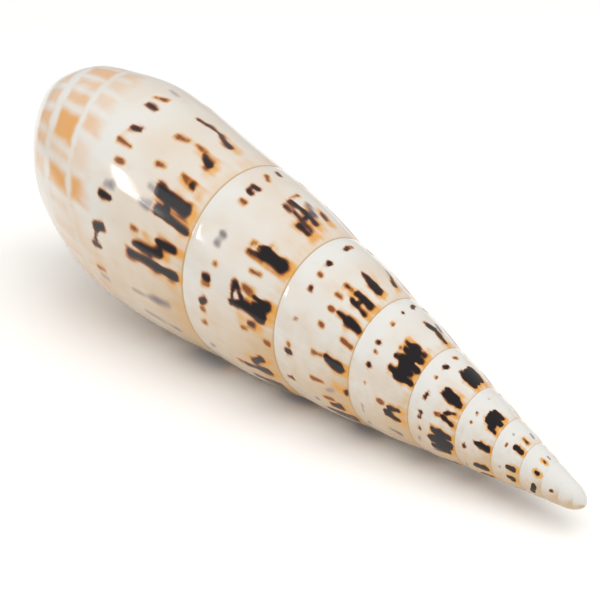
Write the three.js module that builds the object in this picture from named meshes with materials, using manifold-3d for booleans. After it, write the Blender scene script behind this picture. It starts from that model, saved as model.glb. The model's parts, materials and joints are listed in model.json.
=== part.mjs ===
// Auger shell, one solid, lying on its side on the floor. Millimetres, +Z up, tip towards +X.
// A tube of growing size winds about the shell's axis; each turn is laid onto the turn before it.
import * as THREE from "three";
import { mergeVertices } from "three/addons/utils/BufferGeometryUtils.js";
import Module from "manifold-3d";

// Growth, counted in turns back from the suture that faces the viewer on the last whorl.
const SUTURE_HEIGHT = 72.15;     // distance of that suture from the point where the cone would end
const HEIGHT_RATE = 0.2867;      // share lost per turn towards the tip
const HEIGHT_CURVE = 0.0078;
const SUTURE_RADIUS = 13.39;
const RADIUS_RATE = 0.231;
const RADIUS_CURVE = 0.0116;
const RADIUS_CUBIC = 0.001;
const WHORL_BULGE = 0.0226;      // how far a whorl swells, as a share of its length
const TIP_HEIGHT = 9.2;          // where the blunt tip ends, from where the cone would end
const TIP_RADIUS = 1.12;         // radius that the cone would have there
const TIP_SLOPE = 0.2;           // growth of the cone's radius with height near the tip
const TIP_DOME = 1.9;            // length over which the tip is rounded off
const TIP_WORN = 13;             // below this height the whorls are worn into one smooth cone
const TIP_WORN_BLEND = 2;
const TIP_TURN = 10.8;           // one turn past the one that reaches the tip
const LIP_ANGLE = 150;           // degrees about the axis, zero towards the viewer
const LIP_TURN = -LIP_ANGLE / 360;

// The last whorl: radius against the radius at its suture, by distance in whorl lengths.
const BODY_AT = [0, 0.35, 0.8, 1.25, 1.7, 1.92, 2.1, 2.22];
const BODY_RADIUS = [1, 1.062, 1.154, 1.179, 1.046, 0.87, 0.666, 0.489];
const BASE_END = 2.22;
const BASE_FROM = 1;             // the base starts where the whorl's length ends
const BASE_BLEND = 0.7;          // over this length it takes up its own form
const BASE_HOLD = 0.112;         // the base grows this much slower than the sutures, per turn
const BASE_HOLD_TURN = 0.08;     // where both are alike
const BASE_HOLD_BLEND = 0.5;
const STRETCH_FROM = 1.2;        // from here the base is drawn back at the lip
const LIP_END = 1.86;            // the lip stops a little short at the canal
const CLOSING_TURN = -0.27;      // where the base begins to draw back towards the lip
const PILLAR_DROP = 4;           // how far the pillar's end lies behind the lip's end

// How it lies.
const AXIS_DIP = 8.6;            // degrees the tip points down
const UP_ANGLE = 49;             // degrees about the axis that end up on top
const WORN_FLAT = 0.45;          // depth of the flat patch it rests on

// The hollow behind the mouth.
const LIP_WALL = 1.1;
const INNER_WALL = 0.9;
const HOLLOW_OUTER = [0.56, 0.7, 0.85, 1.02, 1.22, 1.42, 1.6, 1.76, 1.9, 2.02, 2.12];
const HOLLOW_INNER = [2.16, 2.06, 1.96, 1.86, 1.76];
const HOLLOW_TURN = 0.6;         // how far back the hollow goes, in turns
const HOLLOW_OPENING = 0.015;    // how far it stands out of the mouth, in turns
const HOLLOW_CUTS = 20;
const HOLLOW_TAPER = 0.75;       // share of its width lost at its end
const HOLLOW_TAPER_FROM = 0.35;  // share of its length that keeps its width

// Facets.
const STEPS = 36;                // per turn
const SPIRE_ROWS = 6;
const BASE_ROWS = [1.12, 1.25, 1.4, 1.55, 1.7, 1.82, 1.93, 2.03, 2.13, BASE_END];
const MERGE = 1e-4;              // corners closer than this are one
const FLOOR_BLOCK = 400;         // side of the block that wears the flat

const SHELL_COLOUR = 0xe9dfd2;
const SHELL_ROUGHNESS = 0.25;

function sutureHeight(t) {
  const grown = Math.exp(-HEIGHT_RATE * t + HEIGHT_CURVE * t * t);
  return Math.max(TIP_HEIGHT, SUTURE_HEIGHT * grown);
}

function sutureRadius(t) {
  return SUTURE_RADIUS * Math.exp(-RADIUS_RATE * t - RADIUS_CURVE * t * t + RADIUS_CUBIC * t * t * t);
}

function smooth(x) {
  const c = Math.min(1, Math.max(0, x));
  return c * c * (3 - 2 * c);
}

// Smooth curve through the profile points (cubic with slopes from the neighbours).
function bodyRadius(x) {
  const last = BODY_AT.length - 1;
  if (x >= BODY_AT[last]) return BODY_RADIUS[last];
  let i = 0;
  while (x > BODY_AT[i + 1]) i += 1;
  const slope = (k) => {
    const a = Math.max(0, k - 1);
    const b = Math.min(last, k + 1);
    return (BODY_RADIUS[b] - BODY_RADIUS[a]) / (BODY_AT[b] - BODY_AT[a]);
  };
  const w = BODY_AT[i + 1] - BODY_AT[i];
  const s = (x - BODY_AT[i]) / w;
  const s2 = s * s;
  const s3 = s2 * s;
  return (2 * s3 - 3 * s2 + 1) * BODY_RADIUS[i] + (s3 - 2 * s2 + s) * w * slope(i)
    + (-2 * s3 + 3 * s2) * BODY_RADIUS[i + 1] + (s3 - s2) * w * slope(i + 1);
}

// Height of a whorl's point, x = 0 at its suture, 1 at the next one.
function whorlHeight(t, x) {
  const low = sutureHeight(t);
  const pitch = sutureHeight(t - 1) - low;
  const closing = smooth((CLOSING_TURN - t) / (CLOSING_TURN - LIP_TURN));
  const end = BASE_END + (LIP_END - BASE_END) * closing;
  const drawn = (end - STRETCH_FROM) / (BASE_END - STRETCH_FROM);
  const reach = x > STRETCH_FROM ? STRETCH_FROM + (x - STRETCH_FROM) * drawn : x;
  return low + reach * pitch;
}

// Radius of a whorl's point. The last whorl fills out from the straight cone of the spire.
function whorlRadius(t, x) {
  const near = sutureRadius(t);
  const far = sutureRadius(t - 1);
  const mature = smooth(LIP_TURN + 1 - t);
  const body = near * bodyRadius(x);
  if (x <= BASE_FROM) {
    const pitch = sutureHeight(t - 1) - sutureHeight(t);
    const spire = near + (far - near) * x + WHORL_BULGE * pitch * 4 * x * (1 - x);
    return spire + (body - spire) * mature;
  }
  const fade = (1 - mature) * smooth((BASE_FROM + BASE_BLEND - x) / BASE_BLEND);
  const join = 1 + fade * (far / (near * bodyRadius(BASE_FROM)) - 1);
  const slower = Math.exp(BASE_HOLD * (t - BASE_HOLD_TURN)) - 1;
  return body * join * (1 + slower * smooth((x - BASE_FROM) / BASE_HOLD_BLEND));
}

// Near the tip the radius follows the height alone, so the whorls run into one round end.
function wornTip(h, r) {
  const left = Math.min(1, Math.max(0, 1 - (h - TIP_HEIGHT) / TIP_DOME));
  const round = (TIP_RADIUS + TIP_SLOPE * (h - TIP_HEIGHT)) * Math.sqrt(1 - left * left);
  return r + (round - r) * smooth((TIP_WORN - h) / TIP_WORN_BLEND);
}

function whorl(t, x) {
  const h = whorlHeight(t, x);
  return [h, wornTip(h, whorlRadius(t, x))];
}

const place = ([h, r], angle) => new THREE.Vector3(h, r * Math.cos(angle), r * Math.sin(angle));

// Collects corners and faces of a closed surface. Faces that shrink to a line or point are left out.
class Skin {
  constructor() {
    this.corners = [];
    this.faces = [];
  }

  add(v) {
    this.corners.push(v);
    return this.corners.length - 1;
  }

  quad(a, b, c, d) {
    this.faces.push(a, b, c, a, c, d);
  }

  geometry() {
    const g = new THREE.BufferGeometry();
    const flat = this.corners.flatMap((v) => [v.x, v.y, v.z]);
    g.setAttribute("position", new THREE.BufferAttribute(new Float32Array(flat), 3));
    g.setIndex(this.faces);
    const merged = mergeVertices(g, MERGE);
    const kept = [];
    const index = merged.index.array;
    for (let i = 0; i < index.length; i += 3) {
      const face = [index[i], index[i + 1], index[i + 2]];
      if (new Set(face).size === 3) kept.push(...face);
    }
    return merged.setIndex(kept);
  }
}

// Fills a loop with triangles that run the same way round as the loop.
function triangulate(points) {
  const flat = points.map(([h, r]) => new THREE.Vector2(h, r));
  const way = Math.sign(THREE.ShapeUtils.area(flat));
  return THREE.ShapeUtils.triangulateShape(flat, []).map(([a, b, c]) => {
    const own = Math.sign(THREE.ShapeUtils.area([flat[a], flat[b], flat[c]]));
    return own === way ? [a, b, c] : [a, c, b];
  });
}

// The outside: a strip of rows that climbs to the lip, shared with itself along the suture.
function outside() {
  const skin = new Skin();
  const count = Math.round((TIP_TURN - LIP_TURN) * STEPS);
  const firstOfLast = count - STEPS;
  const rows = [];
  for (let i = 0; i <= count; i += 1) {
    const t = TIP_TURN - i / STEPS;
    const at = [];
    for (let k = 0; k <= SPIRE_ROWS; k += 1) at.push(k / SPIRE_ROWS);
    if (i >= firstOfLast) at.push(...BASE_ROWS);
    const points = at.map((x) => whorl(t, x));
    rows.push({ points, ids: points.map((p) => skin.add(place(p, -2 * Math.PI * t))) });
  }
  for (let i = 0; i <= firstOfLast; i += 1) rows[i].ids[SPIRE_ROWS] = rows[i + STEPS].ids[0];
  for (let i = 0; i < count; i += 1) {
    const a = rows[i].ids;
    const b = rows[i + 1].ids;
    const n = Math.min(a.length, b.length);
    for (let k = 0; k + 1 < n; k += 1) skin.quad(a[k], a[k + 1], b[k + 1], b[k]);
  }
  // The first turn closes by itself, because its corners meet at the tip.
  // Front end: a pillar on the axis, then the wall across the mouth.
  const lip = rows[count];
  const wall = rows[firstOfLast];
  const endOf = (row) => row.ids[row.ids.length - 1];
  const rim = lip.points[lip.points.length - 1];
  const pillar = skin.add(new THREE.Vector3(rim[0] - PILLAR_DROP, 0, 0));
  for (let i = firstOfLast; i < count; i += 1) {
    skin.faces.push(pillar, endOf(rows[i + 1]), endOf(rows[i]));
  }
  skin.faces.push(pillar, endOf(wall), endOf(lip));
  const ids = [...lip.ids, ...wall.ids.slice(SPIRE_ROWS + 1).reverse()];
  const outline = [...lip.points, ...wall.points.slice(SPIRE_ROWS + 1).reverse()];
  triangulate(outline).forEach(([a, b, c]) => skin.faces.push(ids[a], ids[b], ids[c]));
  return skin.geometry();
}

// One cut through the hollow, as a loop of height and radius.
function hollowLoop(t, share) {
  const offset = (turn, x, depth) => {
    const e = 0.01;
    const [ha, ra] = whorl(turn, x - e);
    const [hb, rb] = whorl(turn, x + e);
    const [h, r] = whorl(turn, x);
    const len = Math.hypot(hb - ha, rb - ra);
    return [h + depth * (rb - ra) / len, r - depth * (hb - ha) / len];
  };
  const outer = HOLLOW_OUTER.map((x) => offset(t, x, LIP_WALL));
  const inner = HOLLOW_INNER.map((x) => offset(t + 1, x, -INNER_WALL));
  const loop = [...outer, ...inner];
  const mid = loop.reduce((m, p) => [m[0] + p[0] / loop.length, m[1] + p[1] / loop.length], [0, 0]);
  return loop.map(([h, r]) => [mid[0] + (h - mid[0]) * share, mid[1] + (r - mid[1]) * share]);
}

function hollow() {
  const skin = new Skin();
  const loops = [];
  for (let i = 0; i <= HOLLOW_CUTS; i += 1) {
    const along = i / HOLLOW_CUTS;
    const t = LIP_TURN - HOLLOW_OPENING + HOLLOW_TURN * along;
    const narrowing = smooth((along - HOLLOW_TAPER_FROM) / (1 - HOLLOW_TAPER_FROM));
    const points = hollowLoop(t, 1 - HOLLOW_TAPER * narrowing);
    loops.push({ points, ids: points.map((p) => skin.add(place(p, -2 * Math.PI * t))) });
  }
  for (let i = 0; i < HOLLOW_CUTS; i += 1) {
    const a = loops[i].ids;
    const b = loops[i + 1].ids;
    a.forEach((_, k) => {
      const n = (k + 1) % a.length;
      skin.quad(a[k], a[n], b[n], b[k]);
    });
  }
  for (const [i, flip] of [[0, true], [HOLLOW_CUTS, false]]) {
    const { points, ids } = loops[i];
    triangulate(points).forEach(([a, b, c]) => {
      skin.faces.push(...(flip ? [ids[a], ids[c], ids[b]] : [ids[a], ids[b], ids[c]]));
    });
  }
  return skin.geometry();
}

const wasm = await Module();
wasm.setup();

// Makes a solid of a closed surface, turned so that its faces point outwards.
function solid(geometry) {
  const make = (index) => new wasm.Manifold(new wasm.Mesh({
    numProp: 3,
    vertProperties: new Float32Array(geometry.attributes.position.array),
    triVerts: index,
  }));
  const index = new Uint32Array(geometry.index.array);
  const body = make(index);
  if (body.volume() > 0) return body;
  const turned = index.slice();
  for (let i = 0; i < turned.length; i += 3) [turned[i], turned[i + 1]] = [turned[i + 1], turned[i]];
  return make(turned);
}

function toGeometry(body) {
  const mesh = body.getMesh();
  const g = new THREE.BufferGeometry();
  g.setAttribute("position", new THREE.BufferAttribute(new Float32Array(mesh.vertProperties), 3));
  g.setIndex(Array.from(mesh.triVerts));
  g.computeVertexNormals();
  return g;
}

// Turns the shell from its own axis to the way it lies.
function lie(geometry) {
  const dip = THREE.MathUtils.degToRad(AXIS_DIP);
  const up = THREE.MathUtils.degToRad(UP_ANGLE);
  const axis = new THREE.Vector3(-Math.cos(dip), 0, Math.sin(dip));
  const top = new THREE.Vector3(Math.sin(dip), 0, Math.cos(dip));
  const side = new THREE.Vector3().crossVectors(axis, top);
  const y = top.clone().multiplyScalar(Math.cos(up)).addScaledVector(side, -Math.sin(up));
  const z = top.clone().multiplyScalar(Math.sin(up)).addScaledVector(side, Math.cos(up));
  return geometry.applyMatrix4(new THREE.Matrix4().makeBasis(axis, y, z));
}

// The block under the floor.
function floorBlock(level) {
  const block = new THREE.BoxGeometry(FLOOR_BLOCK, FLOOR_BLOCK, FLOOR_BLOCK);
  block.deleteAttribute("normal");
  block.deleteAttribute("uv");
  return mergeVertices(block.translate(0, 0, level - FLOOR_BLOCK / 2), MERGE);
}

const carved = solid(lie(outside())).subtract(solid(lie(hollow())));
const low = carved.boundingBox().min[2] + WORN_FLAT;
const worn = carved.subtract(solid(floorBlock(low)));
const seat = worn.boundingBox();
const [midX, midY] = [0, 1].map((i) => (seat.min[i] + seat.max[i]) / 2);

const shell = new THREE.Mesh(
  toGeometry(worn.translate([-midX, -midY, -low])),
  new THREE.MeshStandardMaterial({ color: SHELL_COLOUR, roughness: SHELL_ROUGHNESS, metalness: 0 }),
);
shell.name = "shell";

const group = new THREE.Group();
group.name = "auger_shell";
group.add(shell);
export default group;
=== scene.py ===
"""Polished spotted auger shell, lying on its side on a pale studio floor.

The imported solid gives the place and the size. This script models the same shell again with a fine
surface, paints its blotches, dots and tan squares onto it, and sets floor, lights and camera.
"""
from __future__ import annotations

import json
import logging
import math
import random
from dataclasses import dataclass, field
from enum import Enum
from typing import Any, Iterator

import bmesh
import bpy
import numpy as np
from mathutils import Euler, Matrix, Vector
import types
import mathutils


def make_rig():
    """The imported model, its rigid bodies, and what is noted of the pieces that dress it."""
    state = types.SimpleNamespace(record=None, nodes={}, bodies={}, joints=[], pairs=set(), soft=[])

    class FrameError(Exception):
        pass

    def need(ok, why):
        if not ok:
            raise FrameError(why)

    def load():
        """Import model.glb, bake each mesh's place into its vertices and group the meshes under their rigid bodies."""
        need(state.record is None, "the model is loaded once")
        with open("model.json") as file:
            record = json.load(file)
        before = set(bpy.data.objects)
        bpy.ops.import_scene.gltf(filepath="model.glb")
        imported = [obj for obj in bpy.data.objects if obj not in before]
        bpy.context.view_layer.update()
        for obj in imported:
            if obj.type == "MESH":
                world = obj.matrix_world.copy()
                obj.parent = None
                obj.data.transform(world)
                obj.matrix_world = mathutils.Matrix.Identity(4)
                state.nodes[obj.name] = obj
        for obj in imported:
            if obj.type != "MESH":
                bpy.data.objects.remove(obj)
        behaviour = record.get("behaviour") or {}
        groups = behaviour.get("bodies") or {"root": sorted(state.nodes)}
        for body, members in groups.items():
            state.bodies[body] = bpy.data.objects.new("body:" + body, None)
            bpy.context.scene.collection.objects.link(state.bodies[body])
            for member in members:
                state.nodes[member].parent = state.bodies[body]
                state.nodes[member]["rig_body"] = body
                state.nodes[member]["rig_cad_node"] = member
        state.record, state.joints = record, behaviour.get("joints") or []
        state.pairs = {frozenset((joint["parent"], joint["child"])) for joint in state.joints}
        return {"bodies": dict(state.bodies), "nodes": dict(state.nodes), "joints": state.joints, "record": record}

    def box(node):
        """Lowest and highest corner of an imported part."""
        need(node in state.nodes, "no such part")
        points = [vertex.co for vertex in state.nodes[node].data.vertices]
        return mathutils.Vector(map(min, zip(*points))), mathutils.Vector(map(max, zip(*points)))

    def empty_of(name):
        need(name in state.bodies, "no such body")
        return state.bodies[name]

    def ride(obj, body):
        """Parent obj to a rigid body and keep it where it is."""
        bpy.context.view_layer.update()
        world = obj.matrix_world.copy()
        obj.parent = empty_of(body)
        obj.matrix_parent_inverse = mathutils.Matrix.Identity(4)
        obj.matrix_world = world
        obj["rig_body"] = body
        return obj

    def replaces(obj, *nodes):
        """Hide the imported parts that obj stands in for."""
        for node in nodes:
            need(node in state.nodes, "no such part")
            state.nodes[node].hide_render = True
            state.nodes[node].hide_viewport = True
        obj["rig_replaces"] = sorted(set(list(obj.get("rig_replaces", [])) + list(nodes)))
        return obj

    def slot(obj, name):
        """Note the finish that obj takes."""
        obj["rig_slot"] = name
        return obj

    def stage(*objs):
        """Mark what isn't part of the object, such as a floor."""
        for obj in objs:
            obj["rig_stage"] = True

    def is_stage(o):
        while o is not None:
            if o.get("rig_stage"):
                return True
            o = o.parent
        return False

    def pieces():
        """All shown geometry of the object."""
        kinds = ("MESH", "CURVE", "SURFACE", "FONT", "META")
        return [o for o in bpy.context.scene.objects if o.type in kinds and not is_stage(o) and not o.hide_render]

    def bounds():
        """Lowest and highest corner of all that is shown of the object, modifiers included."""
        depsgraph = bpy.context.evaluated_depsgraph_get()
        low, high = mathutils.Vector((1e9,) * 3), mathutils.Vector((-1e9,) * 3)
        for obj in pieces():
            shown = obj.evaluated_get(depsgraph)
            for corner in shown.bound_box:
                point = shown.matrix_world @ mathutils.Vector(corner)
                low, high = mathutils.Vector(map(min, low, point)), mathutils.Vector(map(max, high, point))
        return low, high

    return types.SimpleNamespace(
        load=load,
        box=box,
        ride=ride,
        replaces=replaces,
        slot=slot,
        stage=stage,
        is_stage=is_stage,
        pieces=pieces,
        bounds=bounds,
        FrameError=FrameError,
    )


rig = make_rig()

LOG = logging.getLogger("auger_shell")
MM = 0.001
TINY = 1e-6
SIZE_FILE = "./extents.json"
PHOTO_SIDE = 600
WHORL_PARTS = 100
VALUE, FROM_MIN, FROM_MAX, TO_MIN, TO_MAX = range(5)
MIX_SHARE, MIX_A, MIX_B, MIX_COLOUR = 0, 6, 7, 2


def linear(colour: str) -> tuple[float, float, float, float]:
    """Turn an sRGB hex colour into linear light.

    Args:
        colour: Six hex digits, with or without a leading hash.

    Returns:
        Red, green, blue and an alpha of one, as a shader socket takes them.
    """
    digits = colour.lstrip("#")
    parts = [int(digits[i:i + 2], 16) / 255 for i in (0, 2, 4)]
    light = [p / 12.92 if p <= 0.04045 else ((p + 0.055) / 1.055) ** 2.4 for p in parts]
    return (light[0], light[1], light[2], 1.0)


def add_node(
    tree: bpy.types.NodeTree, kind: str, feeds: dict[Any, Any] | None = None, **settings: Any
) -> bpy.types.Node:
    """Add a node, set its options and feed its inputs.

    Args:
        tree: The node tree that gets the node.
        kind: The node's type name.
        feeds: Input name or number to a value, or to an output socket that is linked.
        **settings: Options of the node itself.

    Returns:
        The new node.
    """
    node = tree.nodes.new(kind)
    for name, value in settings.items():
        setattr(node, name, value)
    for name, value in (feeds or {}).items():
        if isinstance(value, bpy.types.NodeSocket):
            tree.links.new(value, node.inputs[name])
        else:
            node.inputs[name].default_value = value
    return node


def new_material(name: str) -> bpy.types.Material:
    """Make a node material that has no nodes yet.

    Args:
        name: What the real material is.

    Returns:
        The empty material.
    """
    made = bpy.data.materials.new(name)
    made.use_nodes = True
    made.node_tree.nodes.clear()
    return made


def smooth(x: np.ndarray) -> np.ndarray:
    """Ease from 0 to 1 with flat ends."""
    c = np.clip(x, 0.0, 1.0)
    return c * c * (3.0 - 2.0 * c)


def only(piece: bpy.types.Object) -> None:
    """Make a piece the only selected and the active object.

    Args:
        piece: The piece.
    """
    bpy.ops.object.select_all(action="DESELECT")
    piece.select_set(True)
    bpy.context.view_layer.objects.active = piece


def read_points(mesh: bpy.types.Mesh) -> np.ndarray:
    """Read a mesh's corners.

    Args:
        mesh: The mesh.

    Returns:
        Rows of x, y and z.
    """
    flat = np.empty(len(mesh.vertices) * 3)
    mesh.vertices.foreach_get("co", flat)
    return flat.reshape(-1, 3)


def write_points(mesh: bpy.types.Mesh, points: np.ndarray) -> None:
    """Move a mesh's corners to rows of x, y and z."""
    mesh.vertices.foreach_set("co", points.ravel())
    mesh.update()


def add_grid(
    name: str, columns: int, rows: int
) -> tuple[bpy.types.Object, np.ndarray, np.ndarray]:
    """Add a flat grid, to be wound into a surface.

    Args:
        name: The piece's name.
        columns: Faces along x.
        rows: Faces along y.

    Returns:
        The piece, and the column and the row of each of its corners.
    """
    bpy.ops.object.select_all(action="DESELECT")
    bpy.ops.mesh.primitive_grid_add(x_subdivisions=columns, y_subdivisions=rows, size=1.0)
    piece = bpy.context.object
    piece.name = name
    flat = read_points(piece.data)
    column = np.round((flat[:, 0] + 0.5) * columns).astype(int)
    row = np.round((flat[:, 1] + 0.5) * rows).astype(int)
    return piece, column, row


def weld(piece: bpy.types.Object, distance: float) -> None:
    """Start editing a piece and merge the corners that meet.

    Args:
        piece: The piece, which stays in edit mode.
        distance: Corners that are closer than this become one, in metres.
    """
    only(piece)
    bpy.ops.object.mode_set(mode="EDIT")
    bpy.ops.mesh.select_mode(type="VERT")
    bpy.ops.mesh.select_all(action="SELECT")
    bpy.ops.mesh.remove_doubles(threshold=distance)


def face_out() -> None:
    """Turn the edited piece's faces outwards and leave edit mode."""
    bpy.ops.mesh.select_all(action="SELECT")
    bpy.ops.mesh.normals_make_consistent(inside=False)
    bpy.ops.object.mode_set(mode="OBJECT")


@dataclass(frozen=True)
class Growth:
    """The law by which the shell grew, in millimetres, as in the part's source.

    Turns are counted back from the suture that faces the viewer on the last whorl, so they fall
    towards the mouth. Along is 0 at a whorl's own suture and 1 at the next one.
    """

    suture_height: float = 72.15
    height_rate: float = 0.2867
    height_curve: float = 0.0078
    suture_radius: float = 13.39
    radius_rate: float = 0.231
    radius_curve: float = 0.0116
    radius_cubic: float = 0.001
    bulge: float = 0.0226
    tip_height: float = 9.2
    tip_radius: float = 1.12
    tip_slope: float = 0.2
    tip_dome: float = 1.9
    tip_worn: float = 13.0
    tip_worn_blend: float = 2.0
    tip_turn: float = 10.8
    lip_angle: float = 150.0
    body_at: tuple[float, ...] = (0, 0.35, 0.8, 1.25, 1.7, 1.92, 2.1, 2.22)
    body_radius: tuple[float, ...] = (1, 1.062, 1.154, 1.179, 1.046, 0.87, 0.666, 0.489)
    lip_end: float = 1.86
    closing_turn: float = -0.27
    base_blend: float = 0.7
    base_hold: float = 0.112
    base_hold_turn: float = 0.08
    base_hold_blend: float = 0.5
    stretch_from: float = 1.2
    seam_depth: float = 0.006
    seam_width: float = 0.03
    seam_gone: float = 7.9
    seam_fade: float = 1.8
    seam_covered: float = 0.97
    seam_cover_blend: float = 0.03
    slack: float = 1e-4

    @property
    def lip_turn(self) -> float:
        """Where the lip is, in turns."""
        return -self.lip_angle / 360

    @property
    def base_end(self) -> float:
        """How far the last whorl reaches past its suture."""
        return self.body_at[-1]

    @property
    def girth(self) -> float:
        """Way round the last whorl at its suture."""
        return 2 * math.pi * self.suture_radius

    @property
    def length(self) -> float:
        """Length of the last whorl from its suture to where the next one would be."""
        return float(self.height(np.array(-1.0)) - self.height(np.array(0.0)))

    def height(self, turn: np.ndarray) -> np.ndarray:
        """Height of the suture along the axis, which stops at the tip."""
        grown = np.exp(turn * (self.height_curve * turn - self.height_rate))
        return np.maximum(self.tip_height, self.suture_height * grown)

    def radius(self, turn: np.ndarray) -> np.ndarray:
        """Radius of the suture, before the tip is rounded off."""
        slope = (self.radius_cubic * turn - self.radius_curve) * turn - self.radius_rate
        return self.suture_radius * np.exp(turn * slope)

    def worn_tip(self, height: np.ndarray, radius: np.ndarray) -> np.ndarray:
        """Round off the tip, where the radius follows the height alone.

        Args:
            height: Height along the axis.
            radius: Radius of the whorl there.

        Returns:
            The radius of the worn shell.
        """
        above = height - self.tip_height
        left = np.clip(1 - above / self.tip_dome, 0.0, 1.0)
        dome = (self.tip_radius + self.tip_slope * above) * np.sqrt(1 - left * left)
        return radius + (dome - radius) * smooth((self.tip_worn - height) / self.tip_worn_blend)

    def body(self, along: np.ndarray) -> np.ndarray:
        """Radius of the last whorl against the radius at its suture.

        Args:
            along: Distance past the suture, in whorl lengths.

        Returns:
            A smooth curve through the profile's points.
        """
        at = np.array(self.body_at)
        radius = np.array(self.body_radius)
        last = len(at) - 1
        before = np.maximum(0, np.arange(last + 1) - 1)
        after = np.minimum(last, np.arange(last + 1) + 1)
        slope = (radius[after] - radius[before]) / (at[after] - at[before])
        x = np.clip(along, 0.0, at[-1])
        i = np.clip(np.searchsorted(at, x, side="right") - 1, 0, last - 1)
        width = at[i + 1] - at[i]
        s = (x - at[i]) / width
        start = (1 + 2 * s) * (1 - s) ** 2 * radius[i] + s * (1 - s) ** 2 * width * slope[i]
        end = s * s * (3 - 2 * s) * radius[i + 1] + s * s * (s - 1) * width * slope[i + 1]
        return start + end

    def end_of_base(self, turn: np.ndarray) -> np.ndarray:
        """How far the base reaches: the lip stops a little short at the canal."""
        closing = smooth((self.closing_turn - turn) / (self.closing_turn - self.lip_turn))
        return self.base_end + (self.lip_end - self.base_end) * closing

    def whorl(self, turn: np.ndarray, along: np.ndarray) -> tuple[np.ndarray, np.ndarray]:
        """A point of the outside.

        Args:
            turn: Turns back from the reference suture.
            along: Place across the whorl.

        Returns:
            Height along the axis and radius.
        """
        low = self.height(turn)
        pitch = self.height(turn - 1) - low
        near = self.radius(turn)
        far = self.radius(turn - 1)
        mature = smooth(self.lip_turn + 1 - turn)
        end = self.end_of_base(turn)
        fixed = self.stretch_from
        drawn = fixed + (along - fixed) * (end - fixed) / (self.base_end - fixed)
        reach = np.where(along > fixed, drawn, along)
        spire = near + (far - near) * along + self.bulge * pitch * 4 * along * (1 - along)
        body = near * self.body(along)
        fade = (1 - mature) * smooth((1 + self.base_blend - along) / self.base_blend)
        base = body * (1 + fade * (far / (near * self.body(np.array(1.0))) - 1))
        slower = np.exp(self.base_hold * (turn - self.base_hold_turn)) - 1
        base = base * (1 + slower * smooth((along - 1) / self.base_hold_blend))
        radius = np.where(along <= 1, spire + (body - spire) * mature, base)
        height = low + reach * pitch
        return height, self.worn_tip(height, radius - self.seam(turn, along, near, far))

    def seam(
        self, turn: np.ndarray, along: np.ndarray, near: np.ndarray, far: np.ndarray
    ) -> np.ndarray:
        """Depth of the fine groove along the suture.

        Args:
            turn: Turns back from the reference suture.
            along: Place across the whorl.
            near: Radius at the whorl's own suture.
            far: Radius at the next suture.

        Returns:
            How far the surface is pressed in, in millimetres.
        """
        covered = smooth((turn - self.lip_turn - self.seam_covered) / self.seam_cover_blend)
        own = near * np.exp(-((along / self.seam_width) ** 2))
        own = own * smooth((self.seam_gone - turn) / self.seam_fade)
        following = far * covered * np.exp(-(((along - 1) / self.seam_width) ** 2))
        following = following * smooth((self.seam_gone + 1 - turn) / self.seam_fade)
        return self.seam_depth * (own + following)

    def place(self, turn: np.ndarray, along: np.ndarray) -> np.ndarray:
        """Points of the outside in the shell's own axes, in metres."""
        height, radius = self.whorl(turn, along)
        return self.wind(height, radius, turn)

    @staticmethod
    def wind(height: np.ndarray, radius: np.ndarray, turn: np.ndarray) -> np.ndarray:
        """Put heights and radii at their angle about the axis, in metres."""
        angle = -2 * math.pi * turn
        return np.stack([height, radius * np.cos(angle), radius * np.sin(angle)], -1) * MM

    def reach(self, height: np.ndarray, turn: np.ndarray) -> np.ndarray:
        """Place across the whorl, in whorl lengths, of heights at given turns."""
        low = self.height(turn)
        return (height - low) / np.maximum(self.height(turn - 1) - low, TINY)

    def locate(self, points: np.ndarray) -> tuple[np.ndarray, np.ndarray, np.ndarray]:
        """Find where points of the surface lie on the whorls.

        Args:
            points: Rows of x, y and z in the shell's own axes, in metres.

        Returns:
            Turn, place along the whorl, and depth below the outside in millimetres.
        """
        height = points[:, 0] / MM
        radius = np.hypot(points[:, 1], points[:, 2]) / MM
        turn = -np.arctan2(points[:, 2], points[:, 1]) / (2 * math.pi)
        turn = turn - np.floor(turn - self.lip_turn)
        for _ in range(math.ceil(self.tip_turn) + 1):
            older = height < self.height(turn) - self.slack
            turn = np.where(older, turn + 1, turn)
        reach = self.reach(height, turn)
        end = self.end_of_base(turn)
        fixed = self.stretch_from
        beyond = fixed + (reach - fixed) * (self.base_end - fixed) / (end - fixed)
        along = np.clip(np.where(reach > fixed, beyond, reach), 0.0, self.base_end)
        return turn, along, self.whorl(turn, along)[1] - radius


class Pigment(Enum):
    """What a mark is coloured with."""

    INK = "ink"
    RUST = "rust"
    AMBER = "amber"
    # Slate is partly real grey marks and partly painted sheen: a pale mauve-grey veil where the highlight or the
    # bright rim lies over the ink.
    SLATE_AND_SHEEN = "slate_and_sheen"


@dataclass(frozen=True)
class Stroke:
    """One brush-like mark on a whorl: a tapered bar between two places.

    Angles are degrees about the axis, zero towards the viewer. Along is the place across the whorl.
    Widths are degrees too, at the start and at the end.
    """

    start: float
    start_along: float
    end: float
    end_along: float
    start_width: float
    end_width: float
    pigment: Pigment = Pigment.INK


@dataclass(frozen=True)
class Square:
    """A soft tan square on the base of the last whorl, between two angles and two places."""

    start: float
    end: float
    low: float
    high: float
    strength: float


INK, RUST, AMBER, SLATE_AND_SHEEN = Pigment.INK, Pigment.RUST, Pigment.AMBER, Pigment.SLATE_AND_SHEEN

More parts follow.
